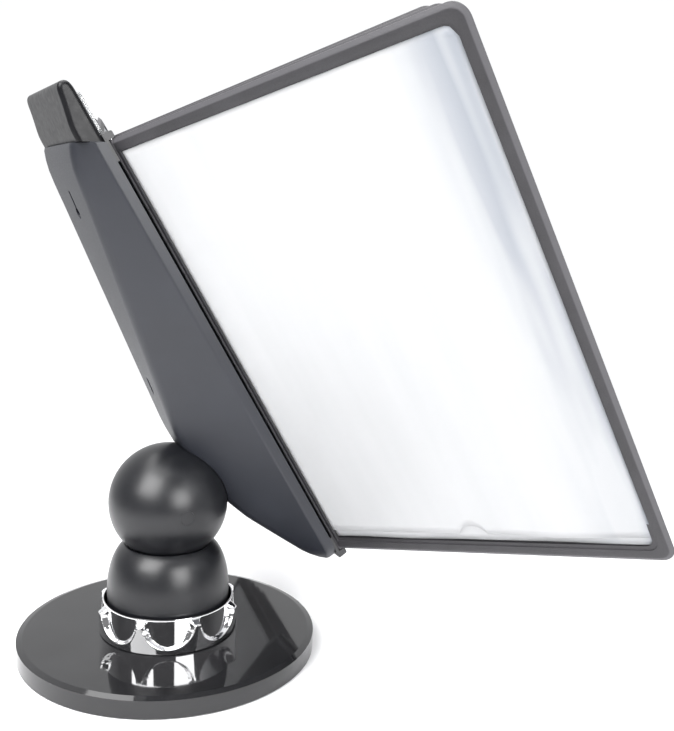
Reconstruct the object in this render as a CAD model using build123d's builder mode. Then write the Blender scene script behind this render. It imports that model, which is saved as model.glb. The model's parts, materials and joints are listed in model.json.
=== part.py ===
from build123d import *
import math
import os

# Desktop reference rack: framed film pages hinged in a leaning holder, on a ball joint and a
# weighted round foot.  Millimetres.  Origin at the centre of the foot's underside, +Z up, the
# reader on the -Y side, the holder leaning back towards +Y.

os.makedirs("parts", exist_ok=True)

# ---------------------------------------------------------------- driving dimensions
# foot
base_radius = 101.0
base_side_top = 12.4
base_top = 13.6
base_bevel = 4.1
base_wall = 2.6
skirt_bottom = 0.8
ballast_thickness = 7.0
cover_thickness = 2.0
foot_thickness = 1.2
foot_bevel = 0.3

# neck and ball joint
ball_radius = 40.0
ball_height = 103.5
ball_wall = 3.6
dome_radius = 41.5
dome_wall = 3.0
dome_straight_top = 40.0
hub_radius = 34.0
hub_flange = 3.6
post_radius = 11.0
bolt_radius = 3.0
nut_radius = 6.4
ball_screw_radius = 2.0
plug_radius = 4.6

# lock ring
ring_radius = 49.3
ring_foot_radius = 46.8
ring_inner = 43.5
ring_top = 36.9
ring_shoulder = 33.0
ring_rim = 1.0
scallop_count = 8
scallop_start = 162.0
scallop_radius = 15.5

# leaning holder, in its own frame: w across, u up along the holder, v towards the reader
lean = 30.5
holder_half_width = 50.0
holder_front = 73.0
holder_top = 228.0
seam_tilt = 28.0
holder_bottom = -88.0
holder_side = 6.5
holder_wall = 2.4
front_plate_thickness = 2.0
cap_top = 267.7
cap_inset = 1.8
cap_round = 3.0
window_thickness = 1.5

# pages
page_count = 8
near_count = 3
hinge_pitch = 12.8
hinge_front = 77.4
page_height = 313.0
page_width = 238.5
page_bottom = -85.5
page_thickness = 3.0
bar_width = 7.6
page_corner = 9.0
page_bevel = 2.4
page_bevel_depth = 1.2
lip_width = 2.5
lip_thickness = 1.2
hinge_bar = 3.2
film_thickness = 0.25
film_bottom_gap = 16.5
notch_radius = 10.5
notch_place = 117.0
barrel_radius = 1.8
pin_radius = 1.0
pin_grip = 12.0
comb_thickness = 4.4
comb_depth = 6.6
comb_round = 1.0
near_angle = -63.7
near_step = 1.0

# clearances
joint_gap = 0.4
slide_gap = 0.3
fit_gap = 0.1
running_gap = 0.05
stack_gap = 0.34

# pages stored on the far side lie against each other's hinge barrels
stack_step = 0.5 * page_thickness + barrel_radius + stack_gap
far_angle = math.degrees(math.acos(stack_step / hinge_pitch))

# ---------------------------------------------------------------- shared frames
lean_sin = math.sin(math.radians(lean))
lean_cos = math.cos(math.radians(lean))
across = Vector(1, 0, 0)
upward = Vector(0, lean_sin, lean_cos)
forward = Vector(0, -lean_cos, lean_sin)
ball_centre = Vector(0, 0, ball_height)
holder = Plane(origin=ball_centre, x_dir=across, z_dir=forward)


def holder_level(u):
    """Plane across the holder at height u: sketch x is w, sketch y is -v."""
    return Plane(origin=ball_centre + upward * u, x_dir=across, z_dir=upward)


def page_plane(index):
    """Plane of one page: sketch x runs out from the hinge, sketch y is u."""
    w = (index - (page_count - 1) / 2) * hinge_pitch
    angle = math.radians(page_angle(index))
    out = forward * math.cos(angle) + across * math.sin(angle)
    origin = ball_centre + across * w + forward * hinge_front
    return Plane(origin=origin, x_dir=out, z_dir=out.cross(upward))


def page_angle(index):
    """Swing of a page about its hinge, from straight out to the reader."""
    if index < near_count:
        return near_angle + near_step * index
    return far_angle


def write(shape, name):
    """Label a finished piece and write its STEP file."""
    shape.label = name
    export_step(shape, f"parts/{name}.step")


def ring_of_points(count, radius, start=0.0):
    """Points spread evenly on a circle."""
    turns = [math.radians(start + 360.0 * i / count) for i in range(count)]
    return [(radius * math.cos(t), radius * math.sin(t)) for t in turns]


# ---------------------------------------------------------------- foot
cover_bottom = foot_thickness
cover_top = cover_bottom + cover_thickness
cover_radius = base_radius - base_wall - fit_gap
ballast_bottom = cover_top + fit_gap
inner_top = base_top - base_wall
cover_screw_radius = 1.6
cover_boss_radius = 4.5
cover_screw_circle = base_radius - 14.0
cover_screw_points = ring_of_points(4, cover_screw_circle, 45)
hub_screw_radius = 2.0
hub_screw_points = ring_of_points(3, hub_radius - 8.0, 90)

with BuildPart() as base_disc:
    with BuildSketch(Plane.XZ):
        with BuildLine():
            Polyline(
                (0, base_top),
                (base_radius - base_bevel, base_top),
                (base_radius, base_side_top),
                (base_radius, skirt_bottom),
                (base_radius - base_wall, skirt_bottom),
                (base_radius - base_wall, inner_top),
                (0, inner_top),
                close=True,
            )
        make_face()
    revolve(axis=Axis.Z)
    with BuildSketch(Plane.XY.offset(inner_top)):
        with Locations(*cover_screw_points):
            Circle(cover_boss_radius)
    extrude(amount=-(inner_top - cover_top))
    with BuildSketch(Plane.XY.offset(cover_top)):
        with Locations(*cover_screw_points):
            Circle(cover_screw_radius)
    extrude(amount=inner_top - cover_top - 1.0, mode=Mode.SUBTRACT)
    with BuildSketch(Plane.XY.offset(inner_top)):
        with Locations(*hub_screw_points):
            Circle(hub_screw_radius + fit_gap)
    extrude(amount=base_wall, mode=Mode.SUBTRACT)
write(base_disc.part, "base_disc")

with BuildPart() as ballast_plate:
    with BuildSketch(Plane.XY.offset(ballast_bottom)):
        Circle(base_radius - base_wall - 1.5)
        with Locations(*cover_screw_points):
            Circle(cover_boss_radius + 1.0, mode=Mode.SUBTRACT)
        with Locations(*hub_screw_points):
            Circle(2 * hub_screw_radius + 1.5, mode=Mode.SUBTRACT)
    extrude(amount=ballast_thickness)
write(ballast_plate.part, "ballast_plate")

with BuildPart() as bottom_cover:
    with BuildSketch(Plane.XY.offset(cover_bottom)):
        Circle(cover_radius)
    extrude(amount=cover_thickness)
    with Locations(*[(x, y, cover_bottom) for x, y in cover_screw_points]):
        Cylinder(
            cover_screw_radius + fit_gap, cover_thickness,
            align=(Align.CENTER, Align.CENTER, Align.MIN), mode=Mode.SUBTRACT,
        )
        Cone(
            2 * cover_screw_radius, cover_screw_radius + fit_gap, 1.4,
            align=(Align.CENTER, Align.CENTER, Align.MIN), mode=Mode.SUBTRACT,
        )
write(bottom_cover.part, "bottom_cover")

with BuildPart() as foot_pad:
    with BuildSketch(Plane.XY):
        Circle(cover_screw_circle - cover_boss_radius)
    extrude(amount=foot_thickness)
    chamfer(foot_pad.edges().filter_by(GeomType.CIRCLE).group_by(Axis.Z)[0], foot_bevel)
write(foot_pad.part, "foot_pad")

with BuildPart() as cover_screws:
    with Locations(*[(x, y, cover_bottom) for x, y in cover_screw_points]):
        Cone(
            2 * cover_screw_radius - 0.3, cover_screw_radius, 1.2,
            align=(Align.CENTER, Align.CENTER, Align.MIN),
        )
        Cylinder(
            cover_screw_radius, cover_thickness + 5.0,
            align=(Align.CENTER, Align.CENTER, Align.MIN),
        )
write(cover_screws.part, "cover_screws")

# ---------------------------------------------------------------- swivel
flange_top = base_top + hub_flange
neck_plate_bottom = flange_top + 1.2
neck_plate_thickness = 4.0
neck_plate_top = neck_plate_bottom + neck_plate_thickness
boss_top = neck_plate_top + 5.0
washer_thickness = 1.5
swivel_nut_height = 4.5
post_top = boss_top + slide_gap + washer_thickness + swivel_nut_height
stud_radius = post_radius - 3.5

with BuildPart() as pivot_hub:
    with BuildSketch(Plane.XZ):
        with BuildLine():
            Polyline(
                (0, base_top),
                (hub_radius, base_top),
                (hub_radius, flange_top),
                (post_radius, flange_top),
                (post_radius, boss_top + slide_gap),
                (stud_radius, boss_top + slide_gap),
                (stud_radius, post_top),
                (0, post_top),
                close=True,
            )
        make_face()
    revolve(axis=Axis.Z)
    with Locations(*[(x, y, base_top) for x, y in hub_screw_points]):
        Cylinder(
            hub_screw_radius, hub_flange, align=(Align.CENTER, Align.CENTER, Align.MIN),
            mode=Mode.SUBTRACT,
        )
write(pivot_hub.part, "pivot_hub")

with BuildPart() as hub_screws:
    with Locations(*[(x, y, inner_top) for x, y in hub_screw_points]):
        Cylinder(
            2 * hub_screw_radius, 2.2, align=(Align.CENTER, Align.CENTER, Align.MAX),
        )
        Cylinder(
            hub_screw_radius, base_wall + hub_flange - 0.4,
            align=(Align.CENTER, Align.CENTER, Align.MIN),
        )
write(hub_screws.part, "hub_screws")

with BuildPart() as swivel_washer:
    with BuildSketch(Plane.XY.offset(boss_top + slide_gap)):
        Circle(post_radius + 6.0)
        Circle(stud_radius, mode=Mode.SUBTRACT)
    extrude(amount=washer_thickness)
write(swivel_washer.part, "swivel_washer")

with BuildPart() as swivel_nut:
    with BuildSketch(Plane.XY.offset(boss_top + slide_gap + washer_thickness)):
        RegularPolygon(stud_radius + 4.5, 6)
        Circle(stud_radius, mode=Mode.SUBTRACT)
    extrude(amount=swivel_nut_height)
write(swivel_nut.part, "swivel_nut")

# ---------------------------------------------------------------- neck
dome_bottom = flange_top - 1.0
cup_inner = ball_radius + joint_gap
cup_outer = cup_inner + dome_wall
lip_drop = math.sqrt(ball_radius**2 - (0.7 * ball_radius) ** 2)
lip_z = ball_height - lip_drop
lip_radius = math.sqrt(cup_inner**2 - lip_drop**2)
dome_inner = dome_radius - dome_wall
bolt_hole = bolt_radius + fit_gap
spring_radius = 9.0
seat_radius = spring_radius + 1.0
seat_flat = cup_outer + 0.3
plate_screw_radius = 1.5
neck_post_radius = 4.0
neck_screw_points = ring_of_points(3, dome_inner - 6.0, 30)

with BuildPart() as neck_dome:
    with BuildSketch(Plane.XZ):
        with BuildLine():
            l1 = Line((dome_radius - 1.0, dome_bottom), (dome_radius, dome_straight_top))
            l2 = Spline(
                (dome_radius, dome_straight_top),
                (dome_radius - 2.6, 0.5 * (dome_straight_top + lip_z) + 3.0),
                (lip_radius + 1.4, lip_z),
                tangents=[(0, 1), (-0.9, 0.65)],
            )
            l3 = Line(l2 @ 1, (lip_radius, lip_z))
            l4 = CenterArc(
                (0, ball_height), cup_inner,
                math.degrees(math.atan2(-lip_drop, lip_radius)),
                math.degrees(
                    math.atan2(-math.sqrt(cup_inner**2 - bolt_hole**2), bolt_hole)
                    - math.atan2(-lip_drop, lip_radius)
                ),
            )
            l5 = Line(l4 @ 1, (bolt_hole, ball_height - math.sqrt(cup_outer**2 - bolt_hole**2)))
            l6 = CenterArc(
                (0, ball_height), cup_outer,
                math.degrees(math.atan2(-math.sqrt(cup_outer**2 - bolt_hole**2), bolt_hole)),
                math.degrees(
                    math.atan2(-lip_drop - 7.0, math.sqrt(cup_outer**2 - (lip_drop + 7.0) ** 2))
                    - math.atan2(-math.sqrt(cup_outer**2 - bolt_hole**2), bolt_hole)
                ),
            )
            l7 = Spline(
                l6 @ 1,
                (dome_inner - 3.0, 0.5 * (dome_straight_top + lip_z) - 3.0),
                (dome_inner, dome_straight_top),
                tangents=[(0.9, -0.5), (0, -1)],
            )
            l8 = Polyline(
                l7 @ 1, (dome_inner, neck_plate_top), (dome_inner, dome_bottom),
                (dome_radius - 1.0, dome_bottom),
            )
        make_face()
    revolve(axis=Axis.Z)
    with BuildSketch(Plane.XY.offset(ball_height - seat_flat)):
        Circle(seat_radius)
        Circle(bolt_hole, mode=Mode.SUBTRACT)
    extrude(amount=seat_flat - cup_inner - 1.0)
    with BuildSketch(Plane.XY.offset(neck_plate_top)):
        with Locations(*neck_screw_points):
            Circle(neck_post_radius)
        with PolarLocations(dome_inner - 1.5, 3, start_angle=30):
            Rectangle(5.0, 6.0)
        with Locations(*neck_screw_points):
            Circle(plate_screw_radius, mode=Mode.SUBTRACT)
    extrude(amount=12.0)
write(neck_dome.part, "neck_dome")

with BuildPart() as neck_plate:
    with BuildSketch(Plane.XY.offset(neck_plate_bottom)):
        Circle(dome_inner - fit_gap)
    extrude(amount=neck_plate_thickness)
    with BuildSketch(Plane.XY.offset(neck_plate_top)):
        Circle(post_radius + 5.0)
    extrude(amount=boss_top - neck_plate_top)
    with BuildSketch(Plane.XY.offset(neck_plate_bottom)):
        Circle(post_radius + running_gap)
        with Locations(*neck_screw_points):
            Circle(plate_screw_radius + fit_gap)
    extrude(amount=boss_top - neck_plate_bottom, mode=Mode.SUBTRACT)
write(neck_plate.part, "neck_plate")

with BuildPart() as neck_screws:
    with Locations(*[(x, y, neck_plate_bottom) for x, y in neck_screw_points]):
        Cylinder(
            2 * plate_screw_radius, 0.9, align=(Align.CENTER, Align.CENTER, Align.MAX),
        )
        Cylinder(
            plate_screw_radius, neck_plate_thickness + 9.0,
            align=(Align.CENTER, Align.CENTER, Align.MIN),
        )
write(neck_screws.part, "neck_screws")

# ---------------------------------------------------------------- lock ring
ring_bottom = base_top + slide_gap
ring_wall = ring_inner + ring_rim
lip_top = dome_bottom - 0.6

with BuildPart() as lock_ring:
    with BuildSketch(Plane.XZ):
        with BuildLine():
            Polyline(
                (hub_radius + 0.5, ring_bottom),
                (ring_foot_radius - 0.8, ring_bottom),
                (ring_foot_radius, ring_bottom + 0.8),
                (ring_radius, ring_shoulder),
                (ring_wall, ring_top - 1.0),
                (ring_wall - 0.4, ring_top),
                (ring_inner, ring_top),
                (ring_inner, lip_top),
                (hub_radius + 0.5, lip_top),
                close=True,
            )
        make_face()
    revolve(axis=Axis.Z)
    for x, y in ring_of_points(scallop_count, 1.0, scallop_start):
        outward = Vector(x, y, 0)
        place = outward * ring_wall + Vector(0, 0, ring_shoulder + 1.0)
        with BuildSketch(Plane(origin=place, x_dir=(-y, x, 0), z_dir=outward)):
            Circle(scallop_radius)
        extrude(amount=ring_radius - ring_wall + 4.0, taper=-20.0, mode=Mode.SUBTRACT)
write(lock_ring.part, "lock_ring")

# ---------------------------------------------------------------- ball
shell_inner = ball_radius - ball_wall
tilt_slot = 26.0
slot_half = bolt_radius + 0.5

for side, name in ((-1, "ball_left"), (1, "ball_right")):
    with BuildPart() as half:
        with Locations((0, 0, ball_height)):
            Sphere(ball_radius)
            Sphere(shell_inner, mode=Mode.SUBTRACT)
        with BuildSketch(Plane.YZ):
            with Locations((0, ball_height)):
                Circle(plug_radius + 1.8)
        extrude(amount=side * (shell_inner + 1.0))
        with BuildSketch(Plane.YZ):
            with Locations((0, ball_height)):
                Circle(ball_screw_radius)
        extrude(amount=30.0, both=True, mode=Mode.SUBTRACT)
        with BuildSketch(Plane.YZ.offset(-ball_radius)):
            with Locations((0, ball_height)):
                Circle(plug_radius + fit_gap)
        extrude(amount=6.0, mode=Mode.SUBTRACT)
        with BuildSketch(Plane.YZ.offset(-ball_radius)):
            with Locations((0, ball_height)):
                Circle(ball_screw_radius)
        extrude(amount=ball_radius, mode=Mode.SUBTRACT)
        with BuildSketch(Plane.YZ):
            with BuildLine():
                reach = ball_radius + 3.0
                turn = math.radians(tilt_slot)
                Polyline(
                    (0, ball_height),
                    (-reach * math.sin(turn), ball_height - reach * math.cos(turn)),
                    (0, ball_height - reach / math.cos(turn)),
                    (reach * math.sin(turn), ball_height - reach * math.cos(turn)),
                    close=True,
                )
            make_face()
            with Locations((0, ball_height)):
                Circle(shell_inner - 6.0, mode=Mode.SUBTRACT)
        extrude(amount=slot_half, both=True, mode=Mode.SUBTRACT)
        with BuildSketch(holder.offset(shell_inner - 3.0)):
            Circle(bolt_radius + fit_gap)
        extrude(amount=ball_wall + 6.0, mode=Mode.SUBTRACT)
        split(bisect_by=Plane.YZ, keep=Keep.TOP if side > 0 else Keep.BOTTOM)
    write(half.part, name)

with BuildPart() as ball_screw:
    with BuildSketch(Plane.YZ.offset(-ball_radius + 6.0)):
        with Locations((0, ball_height)):
            Circle(plug_radius - 1.0)
    extrude(amount=-2.4)
    with BuildSketch(Plane.YZ.offset(-ball_radius + 6.0)):
        with Locations((0, ball_height)):
            Circle(ball_screw_radius)
    extrude(amount=ball_radius - 6.0 + 29.0)
write(ball_screw.part, "ball_screw")

with BuildPart() as ball_plug:
    with BuildSketch(Plane.YZ.offset(-ball_radius)):
        with Locations((0, ball_height)):
            Circle(plug_radius)
    extrude(amount=3.4)
    with Locations((0, 0, ball_height)):
        Sphere(ball_radius, mode=Mode.INTERSECT)
write(ball_plug.part, "ball_plug")

# ---------------------------------------------------------------- clamp stacks on the ball
saddle_outer = shell_inner - joint_gap
saddle_inner = saddle_outer - 3.4
saddle_reach = 13.5
spring_count = 4
spring_height = 2.2
spring_thickness = 0.9
nut_height = 4.6


def clamp_stack(axis_plane, prefix):
    """Bolt with a saddle inside the ball, disc springs and a nut outside the cup."""
    with BuildPart() as saddle:
        with BuildSketch(axis_plane.offset(saddle_inner - 4.0)):
            Circle(saddle_reach)
            Circle(bolt_radius, mode=Mode.SUBTRACT)
        extrude(amount=saddle_outer - saddle_inner + 5.0)
        with Locations(axis_plane.location):
            Sphere(saddle_outer, mode=Mode.INTERSECT)
        with BuildSketch(axis_plane.offset(saddle_inner - 6.0)):
            Circle(saddle_reach + 1.0)
        extrude(amount=4.0, mode=Mode.SUBTRACT)
    write(saddle.part, f"{prefix}_saddle")

    head_top = saddle_inner - 2.0
    nut_start = seat_flat + spring_count * spring_height + 0.4
    with BuildPart() as bolt:
        with BuildSketch(axis_plane.offset(head_top)):
            RegularPolygon(nut_radius - 0.8, 6)
        extrude(amount=-3.6)
        with BuildSketch(axis_plane.offset(head_top)):
            Circle(bolt_radius)
        extrude(amount=nut_start + nut_height + 1.0 - head_top)
    write(bolt.part, f"{prefix}_tie_bolt")

    profile_plane = Plane(
        origin=axis_plane.origin, x_dir=across, z_dir=across.cross(axis_plane.z_dir)
    )
    sign = 1.0 if profile_plane.y_dir.dot(axis_plane.z_dir) > 0 else -1.0
    stack_axis = Axis(axis_plane.origin, axis_plane.z_dir)
    with BuildPart() as springs:
        for i in range(spring_count):
            low = seat_flat + i * spring_height
            rise = spring_height - spring_thickness - 0.1
            start, end = (low, low + rise) if i % 2 == 0 else (low + rise, low)
            with BuildSketch(profile_plane):
                with BuildLine():
                    Polyline(
                        (bolt_radius + 0.3, sign * start),
                        (spring_radius, sign * end),
                        (spring_radius, sign * (end + spring_thickness)),
                        (bolt_radius + 0.3, sign * (start + spring_thickness)),
                        close=True,
                    )
                make_face()
            revolve(axis=stack_axis)
    write(springs.part, f"{prefix}_springs")

    with BuildPart() as nut:
        with BuildSketch(axis_plane.offset(nut_start)):
            RegularPolygon(nut_radius, 6)
            Circle(bolt_radius, mode=Mode.SUBTRACT)
        extrude(amount=nut_height)
    write(nut.part, f"{prefix}_nut")


down = Plane(origin=ball_centre, x_dir=across, z_dir=(0, 0, -1))
clamp_stack(down, "lower")
clamp_stack(holder, "upper")

# ---------------------------------------------------------------- holder shell
back_slope = 0.1475
back_start = 45.0
back_depth = 25.5
ridge_start = 13.0
ridge_slope = 0.147
edge_round = 5.0
top_back = 57.4

# height, ridge half width, back depth, front half width
lower_stations = [
    (holder_bottom, 36.0, 64.0, holder_half_width - 7.0),
    (holder_bottom + 9.0, 34.0, 57.0, holder_half_width),
    (holder_bottom + 31.0, 27.0, 46.5, holder_half_width),
    (holder_bottom + 50.0, 20.0, 37.5, holder_half_width),
    (holder_bottom + 70.0, 15.0, 31.0, holder_half_width),
    (holder_bottom + 98.0, ridge_start, 25.5, holder_half_width),
]


def back_station(u):
    """Ridge and back depth along the straight back of the holder."""
    ridge = ridge_start + ridge_slope * (u - back_start)
    back = back_depth + back_slope * (u - back_start)
    return (u, ridge, back, holder_half_width)


stations = lower_stations + [back_station(u) for u in (back_start, 140.0, 210.0)]
stations += [
    (holder_top - 6.0, 38.6, 53.4, holder_half_width),
    (holder_top, 40.0, top_back, holder_half_width),
]


def seam_plane(rise):
    """Sloping joint of shell and cap: sketch x is w, sketch y runs back from the front face."""
    tilt = math.radians(seam_tilt)
    origin = ball_centre + upward * (holder_top + rise) + forward * holder_front
    return Plane(
        origin=origin, x_dir=across,
        z_dir=upward * math.cos(tilt) + forward * math.sin(tilt),
    )


def station_outline(ridge, back, half_width, front, side):
    """Six-sided outline of one cross-section, front towards the reader."""
    half = [(half_width, -front), (half_width, -side), (ridge, -back)]
    return half + [(-x, y) for x, y in reversed(half)]


def stack_stations(inset, front, side):
    """Cross-sections of the holder, shrunk by a wall, from bottom to top."""
    sketches = []
    for u, ridge, back, half_width in stations:
        end = 0.0
        if u == holder_bottom:
            end = inset
        if u == holder_top:
            end = -inset
        level = holder_level(u + end)
        outline = station_outline(
            ridge - 0.5 * inset, back + inset, half_width - inset, front, side
        )
        if u == holder_top:
            level = seam_plane(end)
            stretch = 1 / math.cos(math.radians(seam_tilt))
            outline = [(x, (holder_front + y) * stretch) for x, y in outline]
        with BuildSketch(level) as station:
            Polygon(*outline, align=None)
            fillet(station.vertices().sort_by(Axis.Y)[-4:], edge_round - inset)
        sketches.append(station.sketch.faces()[0])
    return sketches


plate_half_width = holder_half_width - holder_wall - fit_gap
plate_back = holder_front - front_plate_thickness
plate_screw_radius = 1.5
plate_screw_depth = 7.0
plate_screw_head = 1.2
plate_screw_points = [
    (side * (plate_half_width - 12.0), u) for side in (-1, 1) for u in (-45.0, 80.0, 215.0)
]

with BuildPart() as holder_cavity:
    cavity_side = holder_front - holder_side + 0.4
    loft(stack_stations(holder_wall, holder_front + 4.0, cavity_side), ruled=True)
    with Locations(holder.location):
        Sphere(cup_inner + holder_wall, mode=Mode.SUBTRACT)
    with BuildSketch(holder.offset(seat_flat)):
        Circle(seat_radius)
    extrude(amount=-seat_flat, mode=Mode.SUBTRACT)
    with BuildSketch(holder.offset(plate_back)):
        with Locations(*plate_screw_points):
            Circle(2 * plate_screw_radius + 0.6)
    extrude(amount=-plate_back, mode=Mode.SUBTRACT)

with BuildPart() as rear_shell:
    loft(stack_stations(0.0, holder_front, holder_front - holder_side), ruled=True)
    add(holder_cavity.part, mode=Mode.SUBTRACT)
    with Locations(holder.location):
        Sphere(cup_inner, mode=Mode.SUBTRACT)
    with BuildSketch(holder.offset(cup_inner - 2.0)):
        Circle(bolt_radius)
    extrude(amount=holder_wall + 4.0, mode=Mode.SUBTRACT)
    with BuildSketch(holder.offset(plate_back)):
        with Locations(*plate_screw_points):
            Circle(plate_screw_radius)
    extrude(amount=-plate_screw_depth, mode=Mode.SUBTRACT)
write(rear_shell.part, "rear_shell")

# ---------------------------------------------------------------- holder front, combs and cap
with BuildPart() as front_plate:
    with BuildSketch(holder.offset(plate_back)) as outline:
        Polygon(
            (-plate_half_width + 7.0, holder_bottom + holder_wall + fit_gap),
            (plate_half_width - 7.0, holder_bottom + holder_wall + fit_gap),
            (plate_half_width, holder_bottom + 9.6),
            (plate_half_width, holder_top - holder_wall - fit_gap),
            (-plate_half_width, holder_top - holder_wall - fit_gap),
            (-plate_half_width, holder_bottom + 9.6),
            align=None,
        )
        with Locations(*plate_screw_points):
            Circle(plate_screw_radius + fit_gap, mode=Mode.SUBTRACT)
    extrude(amount=front_plate_thickness)
write(front_plate.part, "front_plate")

with BuildPart() as plate_screws:
    with BuildSketch(holder.offset(holder_front)):
        with Locations(*plate_screw_points):
            Circle(2 * plate_screw_radius)
    extrude(amount=plate_screw_head)
    with BuildSketch(holder.offset(holder_front)):
        with Locations(*plate_screw_points):
            Circle(plate_screw_radius)
    extrude(amount=-(front_plate_thickness + plate_screw_depth - 0.5))
write(plate_screws.part, "plate_screws")

hinge_places = [(i - (page_count - 1) / 2) * hinge_pitch for i in range(page_count)]
page_top = page_bottom + page_height
comb_gap = 0.4
cheek_height = 15.0
cheek_front = hinge_front - barrel_radius - slide_gap
cheek_width = 2.4
comb_half_width = holder_half_width - 2.8


def build_comb(name, near_page, direction):
    """Comb bar just past the pages, with a bore for each pin and a cheek at each end."""
    low = near_page + direction * comb_gap
    high = low + direction * comb_thickness
    middle = 0.5 * (low + high)
    with BuildPart() as comb:
        with BuildSketch(holder.offset(holder_front + fit_gap)):
            with Locations((0, middle)):
                Rectangle(2 * comb_half_width, comb_thickness)
        extrude(amount=comb_depth)
        front_edges = comb.edges().filter_by(Axis.X).sort_by(Axis((0, 0, 0), forward))[-2:]
        fillet(front_edges, comb_round)
        with BuildSketch(holder.offset(holder_front + fit_gap)):
            for side in (-1, 1):
                with Locations((side * (comb_half_width - 0.5 * cheek_width),
                                middle - direction * 0.5 * cheek_height)):
                    Rectangle(cheek_width, cheek_height)
        extrude(amount=cheek_front - holder_front - fit_gap)
        for w in hinge_places:
            with BuildSketch(Plane(
                origin=ball_centre + across * w + forward * hinge_front + upward * low,
                x_dir=across, z_dir=upward * direction,
            )):
                Circle(pin_radius + running_gap)
            extrude(amount=comb_thickness, mode=Mode.SUBTRACT)
    write(comb.part, name)


build_comb("upper_comb", page_top, 1)
build_comb("lower_comb", page_bottom, -1)

cap_half_width = holder_half_width - cap_inset
cap_back = top_back + cap_inset
profile_plane = Plane(origin=ball_centre, x_dir=upward, z_dir=across)
seam_drop = 12.0
window_bottom = page_top + comb_gap + comb_thickness + joint_gap
window_top = cap_top - 9.5


def cap_profile(inset, front):
    """Side view of the cap, shrunk by a wall: sketch x is u, sketch y is v."""
    start = holder_top - seam_drop
    high = cap_top - inset
    back = cap_back + inset
    with BuildSketch() as outline:
        with BuildLine():
            front_line = Line((start, front), (high - 10.0, front))
            nose = Spline(
                front_line @ 1,
                (high, holder_front - 4.4),
                tangents=[(1, 0), (0.1, -1)],
            )
            rear = Spline(
                nose @ 1,
                (high - 7.5, back + 4.0),
                (high - 21.0, back + 0.9),
                (start, back - 1.0),
                tangents=[(0.1, -1), (-1, -0.06)],
            )
            Line(rear @ 1, front_line @ 0)
        make_face()
    return outline.sketch


with BuildPart() as cap_pocket:
    with BuildSketch(profile_plane):
        add(cap_profile(holder_wall, holder_front + 1.0))
    extrude(amount=cap_half_width - holder_wall, both=True)
    with BuildSketch(seam_plane(fit_gap + holder_wall)):
        Rectangle(4 * cap_half_width, 4 * cap_half_width)
    extrude(amount=-2 * cap_half_width, mode=Mode.SUBTRACT)

with BuildPart() as top_cap:
    with BuildSketch(profile_plane):
        add(cap_profile(0.0, holder_front))
    extrude(amount=cap_half_width, both=True)
    flanks = top_cap.faces().filter_by(GeomType.PLANE).sort_by(Axis.X)
    rims = flanks[0].edges() + flanks[-1].edges()
    fillet(rims.filter_by(GeomType.LINE, reverse=True), cap_round)
    with BuildSketch(seam_plane(fit_gap)):
        Rectangle(4 * cap_half_width, 4 * cap_half_width)
    extrude(amount=-2 * cap_half_width, mode=Mode.SUBTRACT)
    add(cap_pocket.part, mode=Mode.SUBTRACT)
write(top_cap.part, "top_cap")

with BuildPart() as label_window:
    with BuildSketch(holder.offset(holder_front + fit_gap)):
        with Locations((0, 0.5 * (window_bottom + window_top))):
            RectangleRounded(2 * cap_half_width - 3.0, window_top - window_bottom, 3.0)
    extrude(amount=window_thickness)
write(label_window.part, "label_window")

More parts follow.
